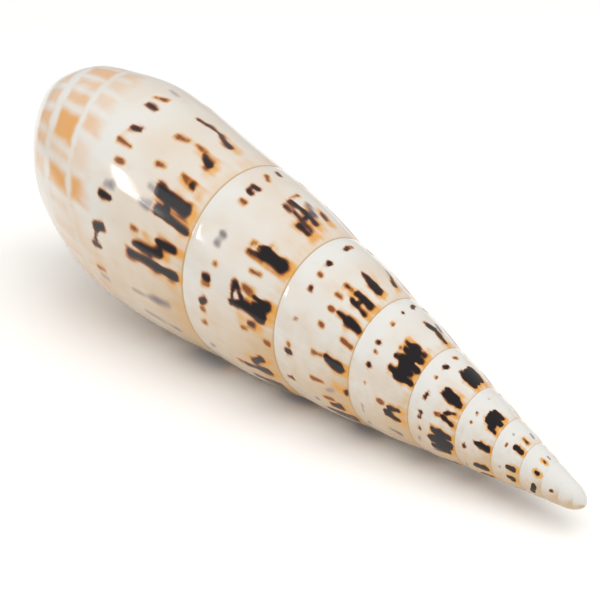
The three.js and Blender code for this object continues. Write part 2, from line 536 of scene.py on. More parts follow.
# A whorl's strokes, from the last whorl to the tip. A row holds the angle and the place across the
# whorl, in hundredths of it, where a stroke starts and where it ends, and its width at both ends.
WHORLS: tuple[dict[Pigment, tuple[tuple[float, ...], ...]], ...] = (
    {
        INK: (
            (-31.5, 6, -32.5, 22, 5.5, 6), (-32.5, 20, -33.5, 47, 5, 3.2),
            (-25, 20, -27.5, 42, 4.5, 3), (-18, 9, -19, 23, 3.6, 3.6), (-26, 22, -20, 20, 2.5, 2.5),
            (-31, 26, -27, 28, 2.4, 2.4), (-5.5, 4, -4, 30, 3.2, 5), (4.5, 11, 5.2, 35, 8, 8),
            (-3, 23, 4, 25, 4.5, 5), (16.5, 14, 18, 17, 2.2, 2.6), (35, 19, 38, 27, 5, 3.4),
            (56, 23, 59.5, 37, 3.4, 3), (60, 38, 59.5, 50, 1.6, 1.8), (58.6, 50, 57, 57, 2.4, 2),
            (-29, 72, -31.5, 79, 3.2, 5), (-33, 78, -38, 80, 3.6, 2), (-41, 75, -41, 82, 2, 2.2),
            (-13.5, 70, -14, 79, 3.6, 2.6), (26, 74, 24.5, 81, 4, 2.6),
            (42, 81, 41.8, 89, 2.8, 2.4), (52, 86, 51, 89, 1.2, 1.2),
        ),
        RUST: (
            (-20, 42, -20, 46, 2.2, 2), (18.5, 20, 20, 27, 2.4, 1.6), (17.5, 42, 16.5, 47, 2, 2),
            (39.5, 29, 40.3, 36, 1.6, 1.2), (38.5, 43, 36.8, 51, 1.6, 2.6),
            (-54.5, 77, -55, 85, 1.4, 1), (6, 71, 5, 76, 1.6, 1.2), (15, 72, 14.5, 84, 1.7, 1.5),
            (52, 85, 49.5, 92, 2, 1.6),
        ),
        AMBER: ((17, 8, 17, 13, 5, 4),),
        # Some of these slate strokes are painted sheen: pale veils where the highlight or the bright rim lies over the
        # ink.
        SLATE_AND_SHEEN: (
            (-72, 20, -70, 50, 3, 2), (-53, 17, -55, 34, 5, 3), (-55, 34, -56, 50, 2, 1),
            (-4, 38, -5, 44, 5, 3.5), (4, 38, 4, 43, 5, 3.5), (-59.5, 78, -60, 85, 2.4, 2),
            (-7, 71, -8, 77, 5, 4), (63.5, 87, 64, 96, 2.4, 2),
        ),
    },
    {
        INK: (
            (-66, 14, -68, 40, 5, 3.5), (-56, 16, -61, 26, 3, 4), (-32, 20, -32.6, 25, 2.8, 2.2),
            (-24, 12, -23, 30, 7.5, 5), (-16, 10, -14.6, 22, 7.5, 3.6), (-20, 14, -20, 20, 8, 6),
            (-22, 30, -25.5, 43, 4.5, 4.5), (-20, 34, -13.5, 42, 4, 3.4),
            (-25, 43, -14, 44, 2.2, 2.2), (12.5, 12, 12.6, 29, 9, 8), (9.5, 29, 7.8, 42, 4, 2.6),
            (15, 29, 12.6, 38, 5.5, 2), (43, 15, 43, 25, 4.6, 4), (46.8, 15, 48, 38, 3, 2.6),
            (47, 40, 46.3, 48, 2, 2.6), (54.6, 19, 55, 35, 2.6, 4.6), (55, 35, 53.6, 49, 4.6, 4.4),
            (49, 27, 60, 30, 3.2, 3.4), (67, 21, 67.5, 29, 2.4, 2), (-34, 71, -36.6, 77, 3, 3.4),
            (-20.6, 70, -21.4, 76, 3, 2.6), (37, 76, 37.2, 80, 3, 2.6),
            (43.4, 74, 42.4, 81, 2.8, 3), (38, 80, 42, 81, 2, 2), (67.4, 83, 68.8, 88, 2.6, 2.4),
        ),
        RUST: (
            (-68, 40, -68, 48, 3, 2), (-40, 5, -40, 8, 2.6, 2), (-37, 27, -37.5, 31, 1.8, 1.4),
            (-14, 25, -12.6, 35, 3, 2.4), (-0.5, 24, -2, 33, 1.4, 1.2),
            (13.5, 41, 12.6, 43, 2.2, 2), (57, 52, 63, 53, 2, 2.4), (-49, 74, -50.5, 79, 1.3, 1.1),
            (-40, 74, -40.6, 77, 2.4, 2), (-24, 69, -24.6, 76, 1.8, 1.6),
            (-11, 66, -11.2, 68, 1.2, 1), (29.6, 72, 30, 78, 1.5, 1.3), (54, 79, 57, 85, 1.7, 1.5),
        ),
        SLATE_AND_SHEEN: (
            (60, 28, 63.5, 42, 5, 3.4), (-67, 77, -69, 82, 2.2, 2), (0.6, 71, 0.6, 74, 4, 3),
            (6, 69, 6, 72, 3, 3),
        ),
    },
    {
        INK: (
            (-68, 18, -69, 30, 6.5, 5), (-48, 3, -44, 1.5, 1.4, 1.8), (-27, 11, -25, 28, 8, 5.6),
            (9, 6, 9.8, 20, 6.4, 7.4), (10, 20, 10.8, 33, 5.6, 1.8), (22.6, 9, 25, 28, 2.6, 4.6),
            (32, 11, 32.4, 30, 6.6, 4.6), (26, 22, 31, 20, 4.6, 5), (31.8, 40, 31.6, 43, 2, 2),
            (49.2, 18, 49.6, 32, 7.6, 6.6), (50, 32, 50, 45, 5.6, 3), (71, 18, 76, 30, 3, 4),
            (-58, 79, -59, 86, 3.6, 2.6), (-36, 75, -36.4, 79, 4.6, 4.6),
            (-11, 72, -11.2, 75, 2.2, 2), (12.8, 72, 12.8, 75, 1.8, 1.6),
            (35.4, 75, 35.8, 77, 4.6, 4.2), (57.4, 80, 60, 83, 2.8, 3),
        ),
        RUST: (
            (-61, 25, -63, 38, 2.6, 2), (-47, 32, -48, 48, 1.8, 1.8), (-25, 33, -26, 45, 2.2, 2.2),
            (-6, 5, -5.2, 16, 3.4, 1.6), (-4.2, 42, -4.2, 45, 2.6, 2.4), (10, 39, 9.6, 43, 2.8, 3),
            (32, 36, 31.6, 44, 2.6, 3.6), (21.6, 39, 21, 45, 2, 2), (-32, 77, -31.4, 78, 2.6, 2),
            (24.6, 72, 24.8, 76, 2.2, 2), (61, 83, 64, 82, 2.8, 2.6),
        ),
        AMBER: ((-33, 9, -33, 16, 4, 3),),
        SLATE_AND_SHEEN: (
            (-69, 50, -70, 53, 3.4, 2.6), (-50.6, 20, -52.6, 29, 2.4, 2), (78, 34, 79, 41, 2.6, 2),
        ),
    },
    {
        INK: (
            (-47, 14, -44, 34, 4.4, 7), (-36, 13, -38, 30, 3.4, 5.6), (-2, 7, -3, 28, 6.4, 10),
            (-2, 28, 0, 41, 8.6, 3.6), (13, 6, 14, 30, 7.4, 11), (6, 14, 6.6, 28, 8, 7),
            (13.4, 30, 12, 42, 7, 3.4), (23, 11, 22, 34, 8, 5.6), (31, 11, 30, 30, 5.4, 6.6),
            (29, 30, 28, 41, 5.6, 3.4), (-1, 22, 28, 22, 13, 13), (67, 11, 67.4, 35, 5.4, 7.4),
            (66.4, 36, 62.4, 47, 6.4, 4.6), (-9.6, 69, -9.6, 72, 4.4, 4.2),
            (11.6, 70, 11.4, 73, 3.4, 3.2), (50.4, 76, 50.6, 77, 3.6, 3.2),
            (64, 78, 69.6, 82, 2.6, 4.4),
        ),
        RUST: (
            (-36, 40, -36, 45, 5, 4.6), (20, 39, 20, 42, 3, 2.6), (-26, 69, -26.4, 71, 1.8, 1.4),
            (3.2, 67, 3.4, 70, 1.8, 1.6), (33, 72, 33.4, 74, 2.6, 2.4),
        ),
        AMBER: ((38, 10, 38, 15, 4, 3),),
        SLATE_AND_SHEEN: (
            (-68, 20, -64, 34, 6, 2.6), (75, 30, 78, 42, 5, 4), (-71, 76, -75, 82, 2.8, 2.4),
            (-48, 74, -57, 77, 2.4, 2.6),
        ),
    },
    {
        INK: (
            (-58, 17, -60, 46, 12, 9), (-48, 13, -48, 46, 14, 12), (-36, 12, -35.4, 45, 8, 7),
            (-57, 28, -38, 28, 15, 15), (-17, 11, -13, 30, 5, 5.6), (-1.6, 11, -9, 27, 3, 5.6),
            (11.4, 14, 12, 30, 11, 13), (10, 30, 11.4, 44, 8, 7), (17, 20, 17, 44, 6.4, 6.4),
            (49, 14, 48, 35, 9, 11), (56, 20, 57, 40, 15, 13), (66, 18, 67, 40, 11, 9.4),
            (48, 40, 48, 46, 7.4, 6.4), (64, 40, 65, 46, 8.4, 7.4),
            (-42.4, 70, -43.6, 74, 2.6, 2.4), (-22.6, 73, -28.4, 74, 5, 5),
            (-6.6, 70, -5, 73, 3.4, 4), (-0.4, 69, -4, 72, 3.4, 4), (39.6, 70, 37, 73, 5.4, 5.6),
            (60, 75, 59.6, 76, 2.4, 2.4),
        ),
        RUST: (
            (-13, 32, -15.4, 45, 4, 4), (20, 72, 20.2, 73, 3.2, 3), (60, 75, 57.4, 77, 4.4, 3.6),
        ),
        SLATE_AND_SHEEN: (
            (-65, 38, -67, 49, 4.4, 3.4), (-57, 77, -61, 79, 3.4, 3.4),
        ),
    },
    {
        INK: (
            (-60, 17, -61, 43, 13, 11), (-20, 12, -20, 30, 12, 11), (-19, 30, -21, 42, 9.4, 6.4),
            (11.4, 11, 14, 25, 5, 9.4), (20, 25, 22, 38, 15, 13), (30, 12, 30, 37, 11, 17),
            (40, 18, 40, 38, 9, 9), (-35.4, 70, -35, 72, 5.6, 5.4), (18.4, 69, 18.6, 71, 4, 3.8),
        ),
        RUST: (
            (-30.6, 70, -30.4, 72, 3, 2.6), (2.4, 69, 2.6, 71, 3.2, 3),
        ),
        SLATE_AND_SHEEN: (
            (-71, 75, -75, 80, 3.4, 3), (50.4, 71, 50.6, 73, 2.6, 2.4),
        ),
    },
    {
        INK: (
            (-54, 21, -53, 38, 13, 6.4), (-29.4, 21, -30, 42, 13, 8), (14, 14, 14, 37, 11, 12),
            (40, 21, 40.4, 27, 4, 3.4),
        ),
        RUST: (
            (40, 18, 40.6, 32, 7, 5), (4.6, 65, 8.6, 65, 4, 4.4),
        ),
        SLATE_AND_SHEEN: (
            (65, 20, 66, 34, 6, 5), (-38.4, 66, -39.6, 70, 4.4, 4), (32, 64, 32.4, 66, 4.4, 4),
        ),
    },
    {
        INK: (
            (-43, 30, -64, 40, 15, 14), (-5, 24, -5, 32, 11, 10), (33, 25, 33.6, 28, 5, 4),
        ),
        RUST: ((32.4, 24, 35, 31, 8, 6),),
        SLATE_AND_SHEEN: ((54, 22, 53, 34, 6, 5),),
    },
    {
        INK: ((-27.4, 37, -28.6, 42, 8, 7),),
        RUST: ((-27, 35, -29, 44, 11, 10),),
    },
)

# First and last angle, lowest and highest place past the suture, and strength.
TAN_SQUARES: tuple[tuple[float, float, float, float, float], ...] = (
    (-52, -29, 0.98, 1.175, 0.25), (-27.5, -12.5, 0.96, 1.175, 0.95), (-11, 5, 0.96, 1.175, 0.35),
    (6.5, 19.5, 0.92, 1.175, 0.6), (21, 33, 0.92, 1.175, 0.4), (34.5, 47, 0.94, 1.175, 0.35),
    (49, 62, 0.94, 1.175, 0.55), (-50, -39, 1.205, 1.51, 0.25), (-37.5, -29, 1.205, 1.51, 0.3),
    (-27.5, -14.5, 1.205, 1.51, 1), (-13, -6.5, 1.205, 1.51, 0.6), (-5, 14.5, 1.205, 1.51, 1),
    (16, 27.5, 1.205, 1.51, 0.7), (29, 40, 1.205, 1.51, 0.55), (41.5, 58, 1.205, 1.51, 0.8),
    (59.5, 76, 1.205, 1.51, 0.6), (-30, -16, 1.585, 1.8, 0.5), (-14.5, -5, 1.585, 1.8, 0.65),
    (-3.5, 9, 1.585, 1.82, 0.75), (10.5, 26, 1.585, 1.83, 0.6), (27.5, 45, 1.585, 1.83, 0.5),
    (46.5, 66, 1.585, 1.83, 0.55), (-12, 8, 1.88, 2.05, 0.12), (9.5, 30, 1.88, 2.1, 0.15),
    (31.5, 60, 1.88, 2.1, 0.2),
)


@dataclass(frozen=True)
class HiddenMarks:
    """The marks of the side that the viewer doesn't see, drawn by lot like the seen ones.

    A pair is the least and the most of a draw. Angles, widths and gaps are degrees about the axis.
    """

    seed: int = 7
    whorls: int = 8
    end: float = 278.0
    lip_margin: float = 4.0
    bars_from: float = 86.0
    blotch_width: tuple[float, float] = (7, 20)
    blotch_gap: tuple[float, float] = (8, 18)
    bar_spacing: float = 6.0
    bar_low: tuple[float, float] = (0.07, 0.14)
    bar_high: tuple[float, float] = (0.34, 0.48)
    bar_fill: tuple[float, float] = (0.75, 1.15)
    bar_drift: tuple[float, float] = (-2, 2)
    bar_taper: float = 0.7
    dots_from: float = 84.0
    dot_pigments: tuple[Pigment, ...] = (INK, INK, RUST)
    dot_low: tuple[float, float] = (0.70, 0.76)
    dot_length: float = 0.05
    dot_width: tuple[float, float] = (2.4, 4.6)
    dot_drift: tuple[float, float] = (-1, 1)
    dot_taper: float = 0.8
    dot_gap: tuple[float, float] = (9, 20)
    square_spans: tuple[tuple[float, float], ...] = ((-205, -58), (78, 148))
    square_rows: tuple[tuple[float, float], ...] = (
        (0.95, 1.175), (1.205, 1.51), (1.585, 1.82), (1.88, 2.1),
    )
    square_width: tuple[float, float] = (9, 15)
    square_strength: tuple[float, float] = (0.15, 0.55)
    square_gap: float = 1.5

    def strokes(self, lip_angle: float) -> Iterator[tuple[int, Stroke]]:
        """Draw the blotches, each of a few bars side by side, and the dots.

        Args:
            lip_angle: Where the last whorl ends.

        Yields:
            The number of the whorl, 0 for the last, and a stroke.
        """
        lot = random.Random(self.seed)
        for number in range(self.whorls):
            stop = lip_angle - self.lip_margin if number == 0 else self.end
            angle = self.bars_from
            while angle < stop:
                spread = lot.uniform(*self.blotch_width)
                bars = 1 + int(spread / self.bar_spacing)
                for bar in range(bars):
                    at = angle + spread * (bar + 0.5) / bars
                    low = lot.uniform(*self.bar_low)
                    high = lot.uniform(*self.bar_high)
                    wide = spread / bars * lot.uniform(*self.bar_fill)
                    end = at + lot.uniform(*self.bar_drift)
                    yield number, Stroke(at, low, end, high, wide, wide * self.bar_taper)
                angle += spread + lot.uniform(*self.blotch_gap)
            angle = self.dots_from
            while angle < stop:
                tint = lot.choice(self.dot_pigments)
                low = lot.uniform(*self.dot_low)
                high = low + self.dot_length
                wide = lot.uniform(*self.dot_width)
                end = angle + lot.uniform(*self.dot_drift)
                yield number, Stroke(angle, low, end, high, wide, wide * self.dot_taper, tint)
                angle += lot.uniform(*self.dot_gap)

    def squares(self) -> Iterator[Square]:
        """Draw the tan squares of the base.

        Yields:
            The squares, column by column.
        """
        lot = random.Random(self.seed + 1)
        for first, last in self.square_spans:
            angle = first
            while angle < last:
                wide = lot.uniform(*self.square_width)
                for low, high in self.square_rows:
                    strength = lot.uniform(*self.square_strength)
                    yield Square(angle, angle + wide, low, high, strength)
                angle += wide + self.square_gap


@dataclass(frozen=True)
class Markings:
    """The shell's pattern: marks placed one by one where they are seen, and by lot elsewhere.

    Turn and along are the places of the points that it is worked out for. The halo is the amber rim
    of an ink blotch, drawn out towards the suture. The painted shade is a warm darker tint on the side
    towards the floor that stands for the shade there, and the hem is a golden edge beside the sutures.
    """

    growth: Growth
    turn: np.ndarray
    along: np.ndarray
    hidden: HiddenMarks = field(default_factory=HiddenMarks)
    outside: float = -3.0
    whorl_swell: float = 1.1
    stroke_turns: float = 0.14
    halo_below: float = 0.3
    halo_reach: float = 0.06
    halo_length: float = 0.12
    halo_width: float = 0.32
    halo_growth: float = 0.8
    square_lean: float = 0.0035
    lean_span: tuple[float, float] = (-60, 80)
    square_fade: float = 0.3
    fading_row: float = 1.2
    # Where the painted shade lies on the side towards the floor, and how strong it is.
    painted_shade_angle: float = -72.0
    painted_shade_spread: float = 48.0
    painted_shade_least: float = 0.45
    painted_shade_width: float = 0.28
    painted_shade_start: float = 0.85
    painted_shade_rate: float = 0.12
    painted_shade_turns: float = 5.0
    hem_width: float = 0.13
    hem_gone: float = 7.0
    hem_fade: float = 1.5

    def strokes(self) -> Iterator[tuple[int, Stroke]]:
        """Give every stroke.

        Yields:
            The number of the whorl, 0 for the last, and a stroke.
        """
        for number, whorl in enumerate(WHORLS):
            for pigment, rows in whorl.items():
                for start, near, end, far, wide, taper in rows:
                    low, high = near / WHORL_PARTS, far / WHORL_PARTS
                    yield number, Stroke(start, low, end, high, wide, taper, pigment)
        yield from self.hidden.strokes(self.growth.lip_angle)

    def squares(self) -> Iterator[Square]:
        """Give every tan square.

        Yields:
            The squares that are seen, then the hidden ones.
        """
        for row in TAN_SQUARES:
            yield Square(*row)
        yield from self.hidden.squares()

    def fields(self) -> dict[str, np.ndarray]:
        """Work out how deep inside each pigment's marks every point lies.

        Returns:
            One array per pigment and one for the tan squares, in millimetres at the size of the
            last whorl, below zero outside the marks. Beside them the strength of the nearest
            square, the share of the painted shade on the side towards the floor, and the share
            of the hem.
        """
        found = {pigment.value: np.full(len(self.turn), self.outside) for pigment in Pigment}
        for number, stroke in self.strokes():
            near, values = self.depth(number, stroke)
            name = stroke.pigment.value
            found[name][near] = np.maximum(found[name][near], values)
            if stroke.pigment is INK and stroke.start_along < self.halo_below:
                near, values = self.depth(number, stroke, self.halo_reach, self.halo_width)
                found["amber"][near] = np.maximum(found["amber"][near], values)
        found["tan"], found["tint"] = self.tan()
        found["painted_shade_share"] = self.painted_shade_share()
        found["hem"] = self.hem()
        return found

    def tan(self) -> tuple[np.ndarray, np.ndarray]:
        """Work out how deep inside the tan squares every point lies.

        Returns:
            The depth in millimetres and the strength of the nearest square.
        """
        deepest = np.full(len(self.turn), self.outside)
        tint = np.zeros(len(self.turn))
        angle = -360 * self.turn
        degree = math.radians(self.growth.suture_radius)
        last = self.turn < self.growth.lip_turn + 1
        lean = self.along - self.square_lean * np.clip(angle, *self.lean_span)
        for square in self.squares():
            across = np.minimum(angle - square.start, square.end - angle) * degree
            fade = self.square_fade if square.low < self.fading_row else 1.0
            ahead = np.minimum((lean - square.low) * fade, square.high - lean)
            inside = np.where(last, np.minimum(across, ahead * self.growth.length), self.outside)
            nearer = inside > deepest
            deepest = np.where(nearer, inside, deepest)
            tint = np.where(nearer, square.strength, tint)
        return deepest, tint

    def painted_shade_share(self) -> np.ndarray:
        """Work out the share of the painted shade, a warm darkening that stands for the shade on the
        side towards the floor, deepest beside the sutures.

        Returns:
            The share, from 0 to a little above 1.
        """
        off = (-360 * self.turn - self.painted_shade_angle + 180) % 360 - 180
        beside = np.exp(-((self.along / self.painted_shade_width) ** 2))
        depth = self.painted_shade_least + (1 - self.painted_shade_least) * beside
        older = self.painted_shade_start + self.painted_shade_rate * np.clip(self.turn, 0.0, self.painted_shade_turns)
        return np.exp(-((off / self.painted_shade_spread) ** 2)) * depth * older

    def hem(self) -> np.ndarray:
        """Share of the golden hem beside the sutures, which the bare tip hasn't got."""
        beside = np.exp(-((self.along / self.hem_width) ** 2))
        return beside * smooth((self.hem_gone - self.turn) / self.hem_fade)

    def depth(
        self, number: int, stroke: Stroke, reach: float = 0.0, swell: float = 0.0
    ) -> tuple[np.ndarray, np.ndarray]:
        """How deep inside one stroke, or inside its halo, the points near it lie.

        Args:
            number: The stroke's whorl, 0 for the last.
            stroke: The stroke.
            reach: How far a halo is drawn out towards the suture.
            swell: Millimetres that a halo adds all round.

        Returns:
            The numbers of the points near the stroke, and their depth in millimetres.
        """
        middle = np.array(number - (stroke.start + stroke.end) / 720)
        radius = float(self.growth.radius(middle)) * self.whorl_swell
        pitch = float(self.growth.height(middle - 1) - self.growth.height(middle))
        grown = radius / (self.growth.suture_radius * self.whorl_swell)
        degree = math.radians(radius)
        near = np.flatnonzero(np.abs(self.turn - middle) < self.stroke_turns)
        x = (360 * (number - self.turn[near]) - stroke.start) * degree
        y = (self.along[near] - stroke.start_along + reach) * pitch
        run_x = (stroke.end - stroke.start) * degree
        far_along = stroke.end_along if reach == 0 else stroke.start_along + self.halo_length
        run_y = (far_along - stroke.start_along + reach) * pitch
        length = run_x * run_x + run_y * run_y
        share = np.clip((x * run_x + y * run_y) / length, 0.0, 1.0)
        away = np.hypot(x - share * run_x, y - share * run_y)
        wide = stroke.start_width + (stroke.end_width - stroke.start_width) * share
        return near, (wide * degree / 2 - away) / grown + swell / grown ** self.halo_growth


@dataclass(frozen=True)
class Grain:
    """A noise that follows the growth, by the real size of its cells on the last whorl."""

    name: str
    round_mm: float
    along_mm: float
    detail: float

    def scale(self, growth: Growth) -> tuple[float, float, float]:
        """Cells in a turn, as a whole number, and cells in a whorl length, to a tenth."""
        return round(growth.girth / self.round_mm), round(growth.length / self.along_mm, 1), 1


class Ease(Enum):
    """How a share changes between its two ends."""

    EVEN = "LINEAR"
    SOFT = "SMOOTHSTEP"


@dataclass(frozen=True)
class Ramp:
    """A share that changes with the turns, across a whorl or with a grain."""

    name: str
    source: str
    start: float
    end: float
    low: float = 0.0
    high: float = 1.0
    ease: Ease = Ease.EVEN


@dataclass(frozen=True)
class Coat:
    """One pigment of the shell.

    It sets in between two depths of the attribute that it follows, and stir is how much the grain
    frays its edge. A coat without a source has a mask of its own.
    """

    name: str
    colour: str
    strength: float
    source: str = ""
    low: float = 0.0
    high: float = 1.0
    stir: float = 0.0


@dataclass(frozen=True)
class PolishedShell:
    """Aragonite shell, ground and polished, with its pigment under the gloss."""

    growth: Growth
    cream: str = "#DCD1C2"
    chalk: str = "#DFDDD7"
    blush: str = "#D6B797"
    blush_from: float = 0.52
    blush_full: float = 0.75
    roughness: float = 0.1
    ior: float = 1.5
    ripple_mm: float = 2.2
    ripple_depth_mm: float = 0.03
    ripple_strength: float = 0.12
    ripple_detail: float = 1.0
    # A real shell's growth lines are finer than the streaks, which are as coarse as it takes to show.
    grains: tuple[Grain, ...] = (
        Grain("streak", 0.93, 8.2, 1.5),
        Grain("fray", 2.5, 2.75, 0.5),
        Grain("cloud", 7.6, 15.4, 2.0),
    )
    ramps: tuple[Ramp, ...] = (
        Ramp("line", "along", 0.018, 0.004, ease=Ease.SOFT),
        Ramp("young", "turns", -7.6, -5.8, ease=Ease.SOFT),
        Ramp("old", "turns", -0.3, -4.5, 0.0, 0.75),
        Ramp("bare", "turns", -5.6, -7.2, 0.0, 0.5),
        Ramp("warm", "turns", -5.6, -7.2, 0.2, 0.0),
        Ramp("band", "along", 0.5, 0.95, 0.0, 0.6, Ease.SOFT),
        Ramp("mottle", "cloud", 0.35, 0.65, 0.35, -0.2),
    )
    coats: tuple[Coat, ...] = (
        # Painted shade: a warm darker tint on the side towards the floor, standing for the shade that falls there.
        Coat("painted_shade", "#C4A06C", 0.75, "painted_shade_share", 0.0, 0.8, 0.15),
        Coat("hem", "#DE9C33", 0.25, "hem", 0.2, 1.3, 1.2),
        Coat("tan", "#DEA35E", 1.0, "tan", -0.3, 1.2, 0.5),
        Coat("amber", "#DE9C33", 0.9, "amber", -0.8, 0.9, 1.3),
        Coat("gold", "#DFA142", 0.7, "rust", -0.75, -0.2, 0.5),
        Coat("rust", "#7C3510", 0.92, "rust", -0.4, 0.08, 0.5),
        Coat("glow", "#DFA142", 0.3, "ink", -0.9, -0.1, 1.3),
        Coat("ember", "#A4561A", 0.8, "ink", -0.5, -0.02, 1.0),
        Coat("umber", "#4A2110", 0.9, "ink", -0.28, 0.08, 0.6),
        Coat("ink", "#110B0D", 1.0, "ink", -0.15, 0.32, 0.7),
        # Slate: real grey marks, and a painted sheen where the highlight or the bright rim lies over the ink.
        Coat("slate_and_sheen", "#675C66", 0.85, "slate_and_sheen", -0.6, 0.6, 0.7),
        Coat("seam", "#A98748", 0.6),
        Coat("lining", "#B39D84", 1.0, "inside", 0.3, 0.7),
    )

    def material(self) -> bpy.types.Material:
        """Make the shell's material.

        Returns:
            A material that reads the marks from the mesh's attributes.
        """
        # Polished aragonite gives the eye a porcelain white with a sharp, clear gloss. The marks
        # lie under the gloss, and their edges fray along the growth lines.
        made = new_material("polished_aragonite_shell")
        tree = made.node_tree
        masks = self.masks(tree)
        colour = self.ground(tree, masks)
        for coat in self.coats:
            share = add_node(
                tree, "ShaderNodeMath", {0: masks[coat.name], 1: coat.strength}, operation="MULTIPLY"
            )
            colour = add_node(
                tree, "ShaderNodeMix",
                {MIX_SHARE: share.outputs[0], MIX_A: colour, MIX_B: linear(coat.colour)},
                data_type="RGBA",
            ).outputs[MIX_COLOUR]
        ripple = add_node(
            tree, "ShaderNodeTexNoise",
            {
                "Vector": masks["object"], "Scale": 1 / (self.ripple_mm * MM),
                "Detail": self.ripple_detail,
            },
        )
        bump = add_node(
            tree, "ShaderNodeBump",
            {
                "Height": ripple.outputs[0], "Strength": self.ripple_strength,
                "Distance": self.ripple_depth_mm * MM,
            },
        )
        skin = add_node(
            tree, "ShaderNodeBsdfPrincipled",
            {
                "Base Color": colour, "Roughness": self.roughness, "IOR": self.ior,
                "Normal": bump.outputs[0],
            },
        )
        add_node(tree, "ShaderNodeOutputMaterial", {"Surface": skin.outputs[0]})
        return made

    def masks(self, tree: bpy.types.NodeTree) -> dict[str, bpy.types.NodeSocket]:
        """Turn the mesh's attributes into soft masks with streaky edges.

        Args:
            tree: The material's node tree.

        Returns:
            Name to output socket of each coat's mask, of the ramps and grains, and of the places
            that they follow.
        """
        place = add_node(tree, "ShaderNodeUVMap", uv_map="growth").outputs[0]
        split = add_node(tree, "ShaderNodeSeparateXYZ", {0: place})
        coordinates = add_node(tree, "ShaderNodeTexCoord")
        out = {
            "object": coordinates.outputs["Object"], "turns": split.outputs[0],
            "along": split.outputs[1],
        }
        for grain in self.grains:
            cells = add_node(
                tree, "ShaderNodeMapping", {"Vector": place, "Scale": grain.scale(self.growth)}
            )
            out[grain.name] = add_node(
                tree, "ShaderNodeTexNoise",
                {"Vector": cells.outputs[0], "Scale": 1.0, "Detail": grain.detail},
                noise_dimensions="2D",
            ).outputs[0]
        for ramp in self.ramps:
            out[ramp.name] = add_node(
                tree, "ShaderNodeMapRange",
                {
                    VALUE: out[ramp.source], FROM_MIN: ramp.start, FROM_MAX: ramp.end,
                    TO_MIN: ramp.low, TO_MAX: ramp.high,
                },
                interpolation_type=ramp.ease.value,
            ).outputs[0]
        both = add_node(
            tree, "ShaderNodeMath", {0: out["streak"], 1: out["fray"]}, operation="ADD"
        )
        # Each of the two noises is a half on average, so less one they sway about zero.
        sway = add_node(
            tree, "ShaderNodeMath", {0: both.outputs[0], 1: 1.0}, operation="SUBTRACT"
        ).outputs[0]
        for coat in self.coats:
            if not coat.source:
                continue
            level = add_node(tree, "ShaderNodeAttribute", attribute_name=coat.source)
            frayed = add_node(
                tree, "ShaderNodeMath", {0: sway, 1: coat.stir, 2: level.outputs["Fac"]},
                operation="MULTIPLY_ADD",
            )
            out[coat.name] = add_node(
                tree, "ShaderNodeMapRange",
                {VALUE: frayed.outputs[0], FROM_MIN: coat.low, FROM_MAX: coat.high},
                interpolation_type=Ease.SOFT.value,
            ).outputs[0]
        out["tint"] = add_node(tree, "ShaderNodeAttribute", attribute_name="tint").outputs["Fac"]
        for name, first, second, operation in (
            ("tan", "tan", "tint", "MULTIPLY"),
            ("seam", "line", "young", "MULTIPLY"),
            ("age", "old", "bare", "ADD"),
            ("bleached", "band", "age", "ADD"),
        ):
            out[name] = add_node(
                tree, "ShaderNodeMath", {0: out[first], 1: out[second]}, operation=operation
            ).outputs[0]
        return out

    def ground(
        self, tree: bpy.types.NodeTree, masks: dict[str, bpy.types.NodeSocket]
    ) -> bpy.types.NodeSocket:
        """Mix the pale ground: cream, with chalky bands beside the sutures and soft clouds.

        Args:
            tree: The material's node tree.
            masks: What masks() gave.

        Returns:
            The ground's colour.
        """
        share = add_node(
            tree, "ShaderNodeMath", {0: masks["bleached"], 1: masks["mottle"]},
            operation="ADD", use_clamp=True,
        )
        pale = add_node(
            tree, "ShaderNodeMix",
            {MIX_SHARE: share.outputs[0], MIX_A: linear(self.cream), MIX_B: linear(self.chalk)},
            data_type="RGBA",
        )
        warmth = add_node(
            tree, "ShaderNodeMapRange",
            {
                VALUE: masks["cloud"], FROM_MIN: self.blush_from, FROM_MAX: self.blush_full,
                TO_MIN: 0.0, TO_MAX: masks["warm"],
            },
            interpolation_type=Ease.SOFT.value,
        )
        return add_node(
            tree, "ShaderNodeMix",
            {
                MIX_SHARE: warmth.outputs[0], MIX_A: pale.outputs[MIX_COLOUR],
                MIX_B: linear(self.blush),
            },
            data_type="RGBA",
        ).outputs[MIX_COLOUR]


